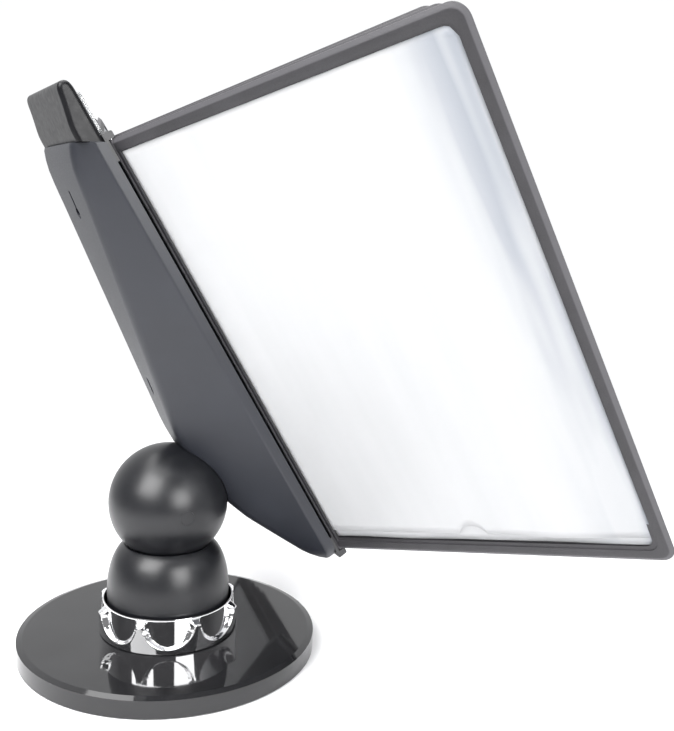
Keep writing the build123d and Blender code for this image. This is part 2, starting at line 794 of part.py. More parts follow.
# ---------------------------------------------------------------- pages
film_inset = bar_width + fit_gap
for index in range(page_count):
    plane = page_plane(index)
    number = index + 1
    centre = (0.5 * page_width, page_bottom + 0.5 * page_height)

    with BuildPart() as page_frame:
        with BuildSketch(plane) as rim:
            with Locations(centre):
                Rectangle(page_width, page_height)
            fillet(rim.vertices().sort_by(Axis.X)[-2:], page_corner)
            with Locations((0.5 * (hinge_bar + page_width - bar_width), centre[1])):
                Rectangle(
                    page_width - bar_width - hinge_bar, page_height - 2 * bar_width,
                    mode=Mode.SUBTRACT,
                )
        extrude(amount=0.5 * page_thickness, both=True)
        page_sides = page_frame.faces().sort_by(Axis(plane.origin, plane.z_dir))
        chamfer(
            page_sides[0].outer_wire().edges(), page_bevel, page_bevel_depth,
            reference=page_sides[0],
        )
        page_sides = page_frame.faces().sort_by(Axis(plane.origin, plane.z_dir))
        chamfer(
            page_sides[-1].outer_wire().edges(), page_bevel, page_bevel_depth,
            reference=page_sides[-1],
        )
        with BuildSketch(plane) as lip:
            with Locations((0.5 * (hinge_bar + page_width - bar_width), centre[1])):
                Rectangle(page_width - bar_width - hinge_bar, page_height - 2 * bar_width)
                Rectangle(
                    page_width - bar_width - hinge_bar - 2 * lip_width,
                    page_height - 2 * bar_width - 2 * lip_width,
                    mode=Mode.SUBTRACT,
                )
        extrude(amount=0.5 * lip_thickness, both=True)
        with BuildSketch(Plane(
            origin=plane.from_local_coords((0, page_bottom, 0)), x_dir=plane.x_dir, z_dir=upward
        )):
            Circle(barrel_radius)
        extrude(amount=page_height)
        for low, toward in ((page_bottom, 1), (page_top, -1)):
            with BuildSketch(Plane(
                origin=plane.from_local_coords((0, low, 0)), x_dir=plane.x_dir,
                z_dir=upward * toward,
            )):
                Circle(pin_radius)
            extrude(amount=pin_grip, mode=Mode.SUBTRACT)
    write(page_frame.part, f"page_{number}_frame")

    with BuildPart() as page_films:
        film_width = page_width - film_inset - hinge_bar - fit_gap
        film_x = hinge_bar + fit_gap + 0.5 * film_width
        for side in (-1, 1):
            bottom = page_bottom + (film_bottom_gap if side > 0 else film_inset)
            top = page_top - film_inset
            with BuildSketch(plane.offset(side * 0.5 * lip_thickness)):
                with Locations((film_x, 0.5 * (bottom + top))):
                    Rectangle(film_width, top - bottom)
                if side > 0:
                    with Locations((notch_place, bottom - 3.5)):
                        Circle(notch_radius, mode=Mode.SUBTRACT)
            extrude(amount=side * film_thickness)
    write(page_films.part, f"page_{number}_films")

    with BuildPart() as page_pins:
        for low, toward in ((page_bottom, 1), (page_top, -1)):
            reach = comb_gap + comb_thickness - 0.4
            with BuildSketch(Plane(
                origin=plane.from_local_coords((0, low - toward * reach, 0)),
                x_dir=plane.x_dir, z_dir=upward * toward,
            )):
                Circle(pin_radius)
            extrude(amount=reach + pin_grip)
    write(page_pins.part, f"page_{number}_pins")
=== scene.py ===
import json
import math

import bmesh
import bpy
from mathutils import Matrix, Vector

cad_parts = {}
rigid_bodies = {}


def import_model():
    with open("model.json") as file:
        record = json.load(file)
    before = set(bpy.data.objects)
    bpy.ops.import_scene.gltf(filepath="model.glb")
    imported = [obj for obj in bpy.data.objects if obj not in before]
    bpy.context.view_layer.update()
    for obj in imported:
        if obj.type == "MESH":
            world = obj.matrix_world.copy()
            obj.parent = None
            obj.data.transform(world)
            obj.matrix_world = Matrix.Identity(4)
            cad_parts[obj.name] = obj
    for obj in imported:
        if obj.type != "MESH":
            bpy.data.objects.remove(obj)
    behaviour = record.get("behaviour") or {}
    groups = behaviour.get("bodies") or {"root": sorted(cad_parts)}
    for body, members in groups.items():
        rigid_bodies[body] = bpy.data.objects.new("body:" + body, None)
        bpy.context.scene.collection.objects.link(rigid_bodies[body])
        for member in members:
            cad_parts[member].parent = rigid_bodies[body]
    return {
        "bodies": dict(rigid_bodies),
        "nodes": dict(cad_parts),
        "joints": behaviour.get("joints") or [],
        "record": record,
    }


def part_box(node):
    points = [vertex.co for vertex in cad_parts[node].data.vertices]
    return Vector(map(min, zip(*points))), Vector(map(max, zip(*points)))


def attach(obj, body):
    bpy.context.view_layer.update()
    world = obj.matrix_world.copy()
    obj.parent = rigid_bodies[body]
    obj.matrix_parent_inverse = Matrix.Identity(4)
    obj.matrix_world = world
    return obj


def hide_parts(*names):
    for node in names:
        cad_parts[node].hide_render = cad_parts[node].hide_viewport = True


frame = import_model()
bpy.context.view_layer.update()

bl_info = {
    "name": "Desktop page display",
    "version": (1, 0, 0),
    "blender": (4, 5, 0),
    "location": "3D View > Sidebar > Page display",
    "description": "Finishes and fine pieces for a flip-page display on a ball-joint foot",
    "category": "Object",
}

MM = 0.001
RING_STEPS = 384
RING_ROWS = 60
joints = {joint["name"]: joint for joint in frame["joints"]}
page_numbers = [n for n in range(1, 61) if f"page_{n}" in frame["bodies"]]

ball_centre = Vector(joints["ball_tilt"]["pos_m"])
across = Vector(joints["ball_tilt"]["axis"])
forward = Vector(joints["holder_roll"]["axis"])
upward = Vector(joints["page_1_turn"]["axis"])


# ------------------------------------------------------------------ settings
def length(name, description, default):
    """A size in metres that a user may change."""
    return bpy.props.FloatProperty(
        name=name, description=description, default=default, unit="LENGTH", subtype="DISTANCE",
        precision=5,
    )


def colour(name, description, default):
    """A finish colour that a user may change."""
    return bpy.props.FloatVectorProperty(
        name=name, description=description, default=default, size=3, min=0.0, max=1.0,
        subtype="COLOR",
    )


class PageSettings(bpy.types.PropertyGroup):
    """Sizes of the framed film pages."""

    bar_width: length("Bar width", "Band round the page", 7.6 * MM)
    bevel: length("Bevel", "Sloping outer edge of the band", 2.4 * MM)
    lip_width: length("Lip width", "Lower step that clamps the film", 2.5 * MM)
    hinge_bar: length("Hinge bar", "Width of the bar beside the hinge", 3.4 * MM)
    thickness: length("Thickness", "Thickness of the page frame", 3.0 * MM)
    corner: length("Corner", "Radius of the two outer corners", 9.0 * MM)
    film: length("Film", "Thickness of one pocket film", 0.25 * MM)
    mouth: length("Pocket mouth", "Height of the pocket's open edge", 16.5 * MM)
    notch_radius: length("Thumb notch", "Radius of the thumb notch", 10.5 * MM)
    notch_place: length("Notch place", "Distance of the notch from the hinge", 117.0 * MM)


class RingSettings(bpy.types.PropertyGroup):
    """Sizes of the chrome lock ring."""

    foot: length("Foot radius", "Radius at the bottom of the grip", 46.8 * MM)
    rim: length("Rim radius", "Outside radius of the top rim", 44.5 * MM)
    shoulder: length("Shoulder", "Height where the grip starts to close in", 33.0 * MM)
    scallop: length("Scallop", "Radius of one finger scallop", 15.5 * MM)
    edge: length("Edge", "Softness of the scallop edges", 1.4 * MM)
    scallops: bpy.props.IntProperty(
        name="Scallops", description="Number of finger scallops", default=8, min=3, max=24
    )
    turn: bpy.props.FloatProperty(
        name="Turn", description="Direction of the first scallop",
        default=math.radians(162.0), subtype="ANGLE", unit="ROTATION",
    )


class ShellSettings(bpy.types.PropertyGroup):
    """Sizes of the moulded holder shell."""

    wall: length("Wall", "Thickness of the moulding", 2.4 * MM)
    ridge: length("Ridge", "Rounding of the two back ridges", 11.0 * MM)
    side: length("Side", "Rounding beside the front face", 3.5 * MM)
    end: length("Ends", "Rounding of the top and bottom ends", 1.4 * MM)
    slot: length("Slot", "Width of the slots in the back", 3.2 * MM)


class FinishSettings(bpy.types.PropertyGroup):
    """Colours of the finishes."""

    lacquer: colour("Lacquer", "Polished black foot", (0.012, 0.012, 0.013))
    soft: colour("Soft touch", "Ball and neck", (0.006, 0.0063, 0.008))
    shell: colour("Shell", "Grained holder", (0.013, 0.0145, 0.020))
    cap: colour("Cap", "Semi-gloss cap", (0.004, 0.004, 0.005))
    rim: colour("Page rim", "Textured page frames", (0.024, 0.023, 0.026))
    film: colour("Film", "Frosted page film", (0.57, 0.575, 0.585))
    floor: colour("Floor", "Studio floor", (0.90, 0.90, 0.91))


class StageSettings(bpy.types.PropertyGroup):
    """Camera and studio."""

    place: bpy.props.FloatVectorProperty(
        name="Camera place", description="Where the camera stands",
        default=(-0.5943, 0.1910, 0.3048), subtype="TRANSLATION", unit="LENGTH", precision=4,
    )
    turn: bpy.props.FloatVectorProperty(
        name="Camera turn", description="Heading from +X, rise and roll",
        default=(-0.4913, -0.1679, 0.0320), subtype="EULER", unit="ROTATION", precision=4,
    )
    lens: bpy.props.FloatProperty(
        name="Lens", description="Focal length in millimetres", default=46.13, min=10.0
    )


# ------------------------------------------------------------------ node helpers
def put(tree, kind, inputs=(), **settings):
    """Adds one node; inputs maps a socket's name or number to a value or to another socket."""
    made = tree.nodes.new(kind)
    for key, value in settings.items():
        setattr(made, key, value)
    for key, value in dict(inputs).items():
        if isinstance(value, bpy.types.NodeSocket):
            tree.links.new(value, made.inputs[key])
        else:
            made.inputs[key].default_value = value
    return made


def new_finish(name):
    """An empty material with a shader, and the place on the object as its coordinates."""
    material = bpy.data.materials.new(name)
    material.use_nodes = True
    tree = material.node_tree
    tree.nodes.clear()
    shader = put(tree, "ShaderNodeBsdfPrincipled")
    output = put(tree, "ShaderNodeOutputMaterial")
    tree.links.new(shader.outputs["BSDF"], output.inputs["Surface"])
    place = put(tree, "ShaderNodeTexCoord").outputs["Object"]
    return material, tree, shader, place


def noise(tree, place, scale, detail=2.0, rough=0.5):
    """Smooth noise from 0 to 1 at a scale given in waves per metre."""
    node = put(
        tree, "ShaderNodeTexNoise",
        {"Vector": place, "Scale": scale, "Detail": detail, "Roughness": rough},
    )
    return node.outputs["Fac"]


def spread(tree, value, low, high, start=0.3, end=0.7):
    """Maps a noise value to a range."""
    node = put(
        tree, "ShaderNodeMapRange",
        {"Value": value, "From Min": start, "From Max": end, "To Min": low, "To Max": high},
    )
    return node.outputs["Result"]


def shade(tree, value, dark, light):
    """Blends two colours by a value."""
    node = put(
        tree, "ShaderNodeMix",
        {0: value, 6: (*dark, 1.0), 7: (*light, 1.0)}, data_type="RGBA",
    )
    return node.outputs[2]


def relief(tree, shader, height, depth, strength=1.0, under=None):
    """Raises the surface by height times depth, over an earlier relief if there is one."""
    inputs = {"Height": height, "Distance": depth, "Strength": strength}
    if under is not None:
        inputs["Normal"] = under
    bump = put(tree, "ShaderNodeBump", inputs)
    tree.links.new(bump.outputs["Normal"], shader.inputs["Normal"])
    return bump.outputs["Normal"]


def varied(base, share):
    """A colour made lighter or darker by a share."""
    return tuple(min(1.0, c * (1.0 + share)) for c in base)


# ------------------------------------------------------------------ finishes
def lacquer_finish(base):
    """Polished black lacquer with faint wiping marks."""
    material, tree, shader, place = new_finish("polished_black_lacquer")
    cloud = noise(tree, place, 35.0, 3.0)
    smears = noise(
        tree, put(tree, "ShaderNodeMapping", {"Vector": place, "Scale": (1.0, 9.0, 1.0)}).outputs[0],
        60.0, 4.0,
    )
    colours = shade(tree, spread(tree, cloud, 0.0, 1.0), varied(base, -0.15), varied(base, 0.25))
    tree.links.new(colours, shader.inputs["Base Color"])
    tree.links.new(spread(tree, smears, 0.035, 0.085), shader.inputs["Roughness"])
    shader.inputs["IOR"].default_value = 1.52
    relief(tree, shader, noise(tree, place, 90.0, 1.0), 0.00002, 0.25)
    return material


def chrome_finish():
    """Polished chrome plate with the slightest haze."""
    material, tree, shader, place = new_finish("polished_chrome")
    haze = noise(tree, place, 70.0, 4.0)
    colours = shade(tree, spread(tree, haze, 0.0, 1.0), (0.80, 0.80, 0.81), (0.90, 0.90, 0.91))
    tree.links.new(colours, shader.inputs["Base Color"])
    tree.links.new(spread(tree, haze, 0.03, 0.075), shader.inputs["Roughness"])
    shader.inputs["Metallic"].default_value = 1.0
    relief(tree, shader, noise(tree, place, 160.0, 1.0), 0.00002, 0.3)
    return material


def soft_touch_finish(base):
    """Satin soft-touch paint with a very fine grain."""
    material, tree, shader, place = new_finish("soft_touch_charcoal")
    cloud = noise(tree, place, 28.0, 4.0)
    colours = shade(tree, spread(tree, cloud, 0.0, 1.0), varied(base, -0.1), varied(base, 0.14))
    tree.links.new(colours, shader.inputs["Base Color"])
    tree.links.new(spread(tree, cloud, 0.30, 0.38), shader.inputs["Roughness"])
    relief(tree, shader, noise(tree, place, 2600.0, 3.0, 0.6), 0.00003, 0.5)
    return material


def grained_shell_finish(base):
    """Moulded charcoal plastic with an even spark-eroded grain."""
    material, tree, shader, place = new_finish("grained_charcoal_plastic")
    cloud = noise(tree, place, 18.0, 3.0)
    grain = noise(tree, place, 1500.0, 4.0, 0.65)
    mix = put(tree, "ShaderNodeMath", {0: cloud, 1: grain}, operation="MULTIPLY").outputs[0]
    colours = shade(
        tree, spread(tree, mix, 0.0, 1.0, 0.12, 0.42), varied(base, -0.18), varied(base, 0.25)
    )
    tree.links.new(colours, shader.inputs["Base Color"])
    tree.links.new(spread(tree, grain, 0.36, 0.50), shader.inputs["Roughness"])
    fine = relief(tree, shader, grain, 0.00006, 0.55)
    relief(tree, shader, noise(tree, place, 120.0, 2.0), 0.00005, 0.2, fine)
    return material


def cap_finish(base):
    """Semi-gloss black plastic that shows soft reflections."""
    material, tree, shader, place = new_finish("semi_gloss_black")
    cloud = noise(tree, place, 40.0, 3.0)
    colours = shade(tree, spread(tree, cloud, 0.0, 1.0), varied(base, -0.2), varied(base, 0.3))
    tree.links.new(colours, shader.inputs["Base Color"])
    tree.links.new(spread(tree, noise(tree, place, 300.0, 4.0), 0.34, 0.42), shader.inputs["Roughness"])
    shader.inputs["Specular IOR Level"].default_value = 0.25
    relief(tree, shader, noise(tree, place, 110.0, 2.0), 0.00004, 0.25)
    return material


def page_rim_finish(base):
    """Dark grey plastic with a fine leather-like texture, and a painted highlight on its outer bevel.
    """
    material, tree, shader, place = new_finish("textured_page_plastic")
    pebbles = put(
        tree, "ShaderNodeTexVoronoi", {"Vector": place, "Scale": 1300.0, "Randomness": 1.0},
        feature="F1",
    ).outputs["Distance"]
    cloud = noise(tree, place, 45.0, 4.0)
    colours = shade(tree, spread(tree, cloud, 0.0, 1.0), varied(base, -0.15), varied(base, 0.22))
    sheet = put(tree, "ShaderNodeUVMap", uv_map="UVMap").outputs["UV"]
    inset = put(tree, "ShaderNodeSeparateXYZ", {0: sheet}).outputs["X"]
    # painted highlight: the outer bevel is blended towards a lighter grey that stands for its glossy
    # light edge
    painted_highlight_mask = spread(tree, inset, 1.0, 0.0, 0.27, 0.36)
    # the lighter grey below is the painted highlight colour of the outer bevel
    rim_with_painted_highlight = put(
        tree, "ShaderNodeMix",
        {0: painted_highlight_mask, 6: colours, 7: (0.070, 0.068, 0.074, 1.0)}, data_type="RGBA",
    ).outputs[2]
    tree.links.new(rim_with_painted_highlight, shader.inputs["Base Color"])
    tree.links.new(spread(tree, pebbles, 0.42, 0.60, 0.0, 0.9), shader.inputs["Roughness"])
    relief(tree, shader, pebbles, 0.00008, 0.6)
    return material


def film_finish(base):
    """Frosted film: milky, slightly blue, clearer where a single layer shows."""
    material, tree, shader, place = new_finish("frosted_page_film")
    sheet = put(tree, "ShaderNodeUVMap", uv_map="UVMap").outputs["UV"]
    bands = put(
        tree, "ShaderNodeTexNoise",
        {
            "Vector": put(
                tree, "ShaderNodeMapping", {"Vector": sheet, "Scale": (7.0, 0.9, 1.0)}
            ).outputs[0],
            "Scale": 1.6, "Detail": 2.0,
        },
    ).outputs["Fac"]
    side = put(tree, "ShaderNodeSeparateXYZ", {0: sheet}).outputs["X"]
    outer = put(
        tree, "ShaderNodeMapRange",
        {"Value": side, "From Min": 0.80, "From Max": 1.0, "To Min": 0.0, "To Max": 1.0},
        interpolation_type="SMOOTHSTEP",
    ).outputs["Result"]
    strong = spread(tree, bands, 0.15, 1.0, 0.40, 0.62)
    tint = put(tree, "ShaderNodeMath", {0: outer, 1: strong}, operation="MULTIPLY").outputs[0]
    blue = tuple(c * k for c, k in zip(base, (0.50, 0.54, 0.60)))
    colours = shade(tree, tint, base, blue)
    tree.links.new(colours, shader.inputs["Base Color"])
    frost = noise(tree, place, 420.0, 5.0, 0.6)
    tree.links.new(spread(tree, frost, 0.30, 0.42), shader.inputs["Roughness"])
    tree.links.new(spread(tree, bands, 0.70, 0.74), shader.inputs["Alpha"])
    shader.inputs["IOR"].default_value = 1.49
    relief(tree, shader, frost, 0.00003, 0.25)
    return material


def window_finish():
    """Clear moulded plastic."""
    material, tree, shader, place = new_finish("clear_window_plastic")
    shader.inputs["Base Color"].default_value = (0.94, 0.96, 0.97, 1.0)
    shader.inputs["IOR"].default_value = 1.49
    shader.inputs["Transmission Weight"].default_value = 0.85
    cloud = noise(tree, place, 80.0, 3.0)
    tree.links.new(spread(tree, cloud, 0.03, 0.09), shader.inputs["Roughness"])
    relief(tree, shader, noise(tree, place, 140.0, 1.0), 0.00003, 0.3)
    return material


def zinc_finish():
    """Zinc-plated steel with soft streaks and a crystalline mottle."""
    material, tree, shader, place = new_finish("zinc_plated_steel")
    streak = put(tree, "ShaderNodeMapping", {"Vector": place, "Scale": (1.0, 1.0, 12.0)}).outputs[0]
    lines = noise(tree, streak, 260.0, 4.0)
    crystals = put(tree, "ShaderNodeTexVoronoi", {"Vector": place, "Scale": 500.0}).outputs["Distance"]
    colours = shade(tree, spread(tree, lines, 0.0, 1.0), (0.46, 0.46, 0.48), (0.66, 0.67, 0.69))
    tree.links.new(colours, shader.inputs["Base Color"])
    tree.links.new(spread(tree, crystals, 0.26, 0.42, 0.0, 0.8), shader.inputs["Roughness"])
    shader.inputs["Metallic"].default_value = 1.0
    relief(tree, shader, lines, 0.00002, 0.4)
    return material


def ballast_finish():
    """Sheared steel plate, darker than the fasteners."""
    material, tree, shader, place = new_finish("ballast_steel")
    mottle = noise(tree, place, 55.0, 5.0, 0.6)
    colours = shade(tree, spread(tree, mottle, 0.0, 1.0), (0.20, 0.19, 0.19), (0.36, 0.36, 0.37))
    tree.links.new(colours, shader.inputs["Base Color"])
    tree.links.new(spread(tree, mottle, 0.45, 0.62), shader.inputs["Roughness"])
    shader.inputs["Metallic"].default_value = 1.0
    relief(tree, shader, noise(tree, place, 700.0, 4.0), 0.00004, 0.4)
    return material


def rubber_finish():
    """Matte rubber with a fine dimple."""
    material, tree, shader, place = new_finish("foot_pad_rubber")
    dust = noise(tree, place, 60.0, 5.0)
    dimples = put(tree, "ShaderNodeTexVoronoi", {"Vector": place, "Scale": 700.0}).outputs["Distance"]
    colours = shade(tree, spread(tree, dust, 0.0, 1.0), (0.018, 0.018, 0.018), (0.036, 0.035, 0.034))
    tree.links.new(colours, shader.inputs["Base Color"])
    tree.links.new(spread(tree, dust, 0.72, 0.9), shader.inputs["Roughness"])
    relief(tree, shader, dimples, 0.00012, 0.5)
    return material


def moulding_finish(name, dark, light, smooth, rough):
    """Plain moulded plastic for covers, combs and bearings."""
    material, tree, shader, place = new_finish(name)
    cloud = noise(tree, place, 50.0, 3.0)
    grain = noise(tree, place, 1800.0, 3.0)
    tree.links.new(shade(tree, spread(tree, cloud, 0.0, 1.0), dark, light), shader.inputs["Base Color"])
    tree.links.new(spread(tree, grain, smooth, rough), shader.inputs["Roughness"])
    relief(tree, shader, grain, 0.00004, 0.4)
    return material


def floor_finish(base):
    """Pale studio paper that fades out away from the display."""
    material, tree, shader, place = new_finish("studio_paper")
    cloud = noise(tree, place, 3.0, 2.0)
    colours = shade(tree, spread(tree, cloud, 0.0, 1.0), varied(base, -0.01), varied(base, 0.01))
    tree.links.new(colours, shader.inputs["Base Color"])
    shader.inputs["Roughness"].default_value = 0.8
    reach = put(
        tree, "ShaderNodeVectorMath", {0: place}, operation="LENGTH"
    ).outputs["Value"]
    tree.links.new(spread(tree, reach, 1.0, 0.0, 0.30, 1.0), shader.inputs["Alpha"])
    return material


finishes = {}


def finish_of(slot):
    """The material that stands for one of the record's material slots."""
    return finishes[slot]


# ------------------------------------------------------------------ mesh helpers
def mesh_piece(name, points, faces, material, smooth=35.0, fix=False):
    """A mesh object in the row frame, smooth but for edges sharper than an angle."""
    mesh = bpy.data.meshes.new(name)
    mesh.from_pydata([tuple(p) for p in points], [], faces)
    if fix:
        shape = bmesh.new()
        shape.from_mesh(mesh)
        bmesh.ops.remove_doubles(shape, verts=shape.verts, dist=1e-7)
        bmesh.ops.recalc_face_normals(shape, faces=shape.faces)
        shape.to_mesh(mesh)
        shape.free()
    mesh.polygons.foreach_set("use_smooth", [True] * len(mesh.polygons))
    mesh.set_sharp_from_angle(angle=math.radians(smooth))
    mesh.materials.append(material)
    piece = bpy.data.objects.new(name, mesh)
    bpy.context.scene.collection.objects.link(piece)
    return piece


def loft_faces(rings, steps, closed=True):
    """Quads between rings of equal length; closed joins the last ring to the first."""
    faces = []
    for i in range(rings if closed else rings - 1):
        for j in range(steps):
            a, b = i * steps + j, i * steps + (j + 1) % steps
            c = ((i + 1) % rings) * steps
            faces.append((a, b, c + (j + 1) % steps, c + j))
    return faces


def settle(piece):
    """Turns the modifiers' result into the piece's own mesh."""
    result = bpy.data.meshes.new_from_object(
        piece.evaluated_get(bpy.context.evaluated_depsgraph_get())
    )
    piece.modifiers.clear()
    old = piece.data
    piece.data = result
    result.name = piece.name
    bpy.data.meshes.remove(old)
    return piece


# ------------------------------------------------------------------ stage
def build_stage(settings, floor_colour):
    """Pale floor, soft boxes and a camera at the display's near side."""
    scene = bpy.context.scene
    paper = floor_finish(floor_colour)
    half = 3.0
    floor = mesh_piece(
        "studio_floor", [(-half, -half, 0), (half, -half, 0), (half, half, 0), (-half, half, 0)],
        [(0, 1, 2, 3)], paper,
    )
    world = bpy.data.worlds.new("studio_light")
    world.use_nodes = True
    background = world.node_tree.nodes["Background"]
    background.inputs["Color"].default_value = (0.985, 0.99, 1.0, 1.0)
    sky = put(world.node_tree, "ShaderNodeTexCoord").outputs["Generated"]
    toward = put(
        world.node_tree, "ShaderNodeVectorMath", {0: sky, 1: (0.88, -0.47, 0.0)},
        operation="DOT_PRODUCT",
    ).outputs["Value"]
    glow = spread(world.node_tree, toward, 0.24, 1.02, -0.10, 0.62)
    world.node_tree.links.new(glow, background.inputs["Strength"])
    scene.world = world
    scene.view_settings.view_transform = "Standard"

    heading, rise, roll = settings.turn
    turn = (
        Matrix.Rotation(heading - math.pi / 2, 4, "Z")
        @ Matrix.Rotation(math.pi / 2 + rise, 4, "X")
        @ Matrix.Rotation(roll, 4, "Z")
    )
    lens = bpy.data.cameras.new("studio_camera")
    lens.lens = settings.lens
    lens.sensor_width = 36.0
    lens.clip_start = 0.01
    camera = bpy.data.objects.new("studio_camera", lens)
    camera.matrix_world = Matrix.Translation(settings.place) @ turn
    scene.collection.objects.link(camera)
    scene.camera = camera

    right, up, back = (turn.to_3x3().col[i] for i in range(3))
    soft_box("key_box", back * 0.77 - right * 0.44 + up * 0.60, 1.2, 0.80, 23.0)
    soft_box("fill_box", back * 0.81 + right * 0.56 + up * 0.19, 1.2, 0.60, 13.0)
    soft_box("top_box", Vector((0.1, 0.1, 1.0)), 1.5, 1.4, 26.0)


def soft_box(name, direction, distance, width, power):
    """A square soft light that faces the ball."""
    lamp = bpy.data.lights.new(name, "AREA")
    lamp.shape = "SQUARE"
    lamp.size = width
    lamp.energy = power
    box = bpy.data.objects.new(name, lamp)
    box.location = ball_centre + direction.normalized() * distance
    box.rotation_euler = direction.to_track_quat("Z", "Y").to_euler()
    bpy.context.scene.collection.objects.link(box)


# ------------------------------------------------------------------ chrome lock ring
def build_lock_ring(settings):
    """Lock ring with soft finger scallops cut into its grip."""
    low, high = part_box("lock_ring")
    outer = high.x
    dome_low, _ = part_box("neck_dome")
    _, hub_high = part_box("pivot_hub")
    wall = settings.rim
    inner = wall - 1.0 * MM
    sill = dome_low.z - 0.6 * MM
    hub = hub_high.x + 0.5 * MM
    taper = math.tan(math.radians(20.0))
    middle = settings.shoulder + 1.0 * MM
    bead = 0.8 * MM

    def grip_radius(turn, height):
        """Outside radius: widening to the shoulder, then closing in, less the scallops."""
        climb = (height - low.z - bead) / (settings.shoulder - low.z - bead)
        plain = settings.foot + (outer - settings.foot) * max(climb, 0.0)
        if height < low.z + bead:
            drop = 1.0 - (height - low.z) / bead
            plain = settings.foot - bead * (1.0 - math.sqrt(max(0.0, 1.0 - drop * drop)))
        if height > settings.shoulder:
            plain = outer + (wall - outer) * (height - settings.shoulder) / (
                high.z - 1.0 * MM - settings.shoulder
            )
            plain = max(plain, wall)
        pitch = 2.0 * math.pi / settings.scallops
        off = (turn - settings.turn + 0.5 * pitch) % pitch - 0.5 * pitch
        reach = math.hypot(outer * off, height - middle)
        cut = wall + (reach - settings.scallop) / taper
        soft = settings.edge
        blend = max(soft - abs(plain - cut), 0.0) / soft
        return max(wall, min(plain, cut) - 0.25 * soft * blend * blend)

    heights = [low.z + bead * (1.0 - math.cos(0.5 * math.pi * i / 5)) for i in range(6)]
    start, stop = heights[-1], high.z - 0.5 * MM
    heights += [start + (stop - start) * (i + 1) / RING_ROWS for i in range(RING_ROWS)]
    points = []
    turns = [2.0 * math.pi * j / RING_STEPS for j in range(RING_STEPS)]
    for height in heights:
        for turn in turns:
            radius = grip_radius(turn, height)
            points.append((radius * math.cos(turn), radius * math.sin(turn), height))
    inside = [
        (wall - 0.15 * MM, high.z - 0.1 * MM), (wall - 0.4 * MM, high.z),
        (inner + 0.1 * MM, high.z), (inner, high.z - 0.15 * MM), (inner, sill),
        (hub, sill), (hub, low.z),
    ]
    for radius, height in inside:
        points += [(radius * math.cos(t), radius * math.sin(t), height) for t in turns]
    count = len(heights) + len(inside)
    ring = mesh_piece(
        "chrome_lock_ring", points, loft_faces(count, RING_STEPS), finish_of("chrome_ring"),
        38.0, fix=True,
    )
    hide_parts("lock_ring")
    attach(ring, "lock_ring")


# ------------------------------------------------------------------ holder shell
SHELL_FRONT = 73.0 * MM
SHELL_SIDE = 66.5 * MM
SHELL_TOP = 228.0 * MM
SEAM_RISE = math.tan(math.radians(28.0))
SHEAR_START = 200.0 * MM
SHELL_LEVELS = 64
# height, ridge half width, back depth, front half width
SHELL_STATIONS = [
    (-88.0, 36.0, 64.0, 43.0), (-79.0, 34.0, 57.0, 50.0), (-57.0, 27.0, 46.5, 50.0),
    (-38.0, 20.0, 37.5, 50.0), (-18.0, 15.0, 31.0, 50.0), (10.0, 13.0, 25.5, 50.0),
    (45.0, 13.0, 25.5, 50.0), (140.0, 27.0, 39.5, 50.0), (210.0, 37.2, 49.8, 50.0),
    (222.0, 38.6, 53.4, 50.0), (228.0, 40.0, 57.4, 50.0),
]


def shell_station(height):
    """Ridge, back and half width at a height, read between the stations."""
    for low, high in zip(SHELL_STATIONS, SHELL_STATIONS[1:]):
        if height <= high[0] * MM:
            break
    share = min(max((height / MM - low[0]) / (high[0] - low[0]), 0.0), 1.0)
    return [(a + (b - a) * share) * MM for a, b in zip(low[1:], high[1:])]


def soft_station(height):
    """The station averaged over a short length, so that its steps run smoothly."""
    reach = 7.0 * MM if height > 0.0 else 2.5 * MM
    reach = min(reach, height - SHELL_STATIONS[0][0] * MM, SHELL_TOP - height)
    reads = [shell_station(height + reach * k / 3.0) for k in range(-3, 4)]
    return [sum(values) / len(reads) for values in zip(*reads)]


def round_corner(before, corner, after, radius, steps=8):
    """Points of a soft curve that rounds one corner of an outline."""
    one, two = before - corner, after - corner
    angle = one.angle(two)
    reach = min(radius / math.tan(0.5 * angle), 0.45 * one.length, 0.45 * two.length)
    start, stop = corner + one.normalized() * reach, corner + two.normalized() * reach
    points = []
    for i in range(steps + 1):
        t = i / steps
        points.append(start * (1 - t) ** 2 + corner * (2 * t * (1 - t)) + stop * t**2)
    return points


def shell_half(height, inset, settings):
    """Rounded outline from the right front edge round the back to the left front edge."""
    ridge, back, half = soft_station(height)
    half, back, ridge = half - inset, back + inset, max(ridge - 0.5 * inset, 2.0 * MM)
    corners = [
        Vector((half, SHELL_FRONT)), Vector((half, SHELL_SIDE)), Vector((ridge, back)),
        Vector((-ridge, back)), Vector((-half, SHELL_SIDE)), Vector((-half, SHELL_FRONT)),
    ]
    points = [corners[0]]
    radii = (settings.side, settings.ridge, settings.ridge, settings.side)
    for i, radius in enumerate(radii, start=1):
        points += round_corner(corners[i - 1], corners[i], corners[i + 1], radius)
    return points + [corners[5]]


def shell_point(across_place, height, depth):
    """A place in the leaning holder, with the top sheared to meet the cap's seam."""
    share = min(max((height - SHEAR_START) / (SHELL_TOP - SHEAR_START), 0.0), 1.0)
    lift = share * share * (3.0 - 2.0 * share) * (SHELL_FRONT - depth) * SEAM_RISE
    return ball_centre + across * across_place + upward * (height + lift) + forward * depth


def cutter(name, outline, low, high):
    """A prism used to cut a slot: its outline is in the holder's across and up directions."""
    count = len(outline)
    points = [
        ball_centre + across * x + upward * y + forward * depth
        for depth in (low, high) for x, y in outline
    ]
    faces = loft_faces(2, count, closed=False)
    faces += [tuple(range(count))[::-1], tuple(range(count, 2 * count))]
    return mesh_piece(name, points, faces, finish_of("charcoal_shell"), fix=True)


def capsule(x, y, radius, half_length, steps=12):
    """Outline of a slot with round ends, upright on the back of the holder."""
    points = []
    for centre, start in ((half_length, 0.0), (-half_length, 180.0)):
        for i in range(steps + 1):
            turn = math.radians(start + 180.0 * i / steps)
            points.append((x + radius * math.cos(turn), y + centre + radius * math.sin(turn)))
    return points


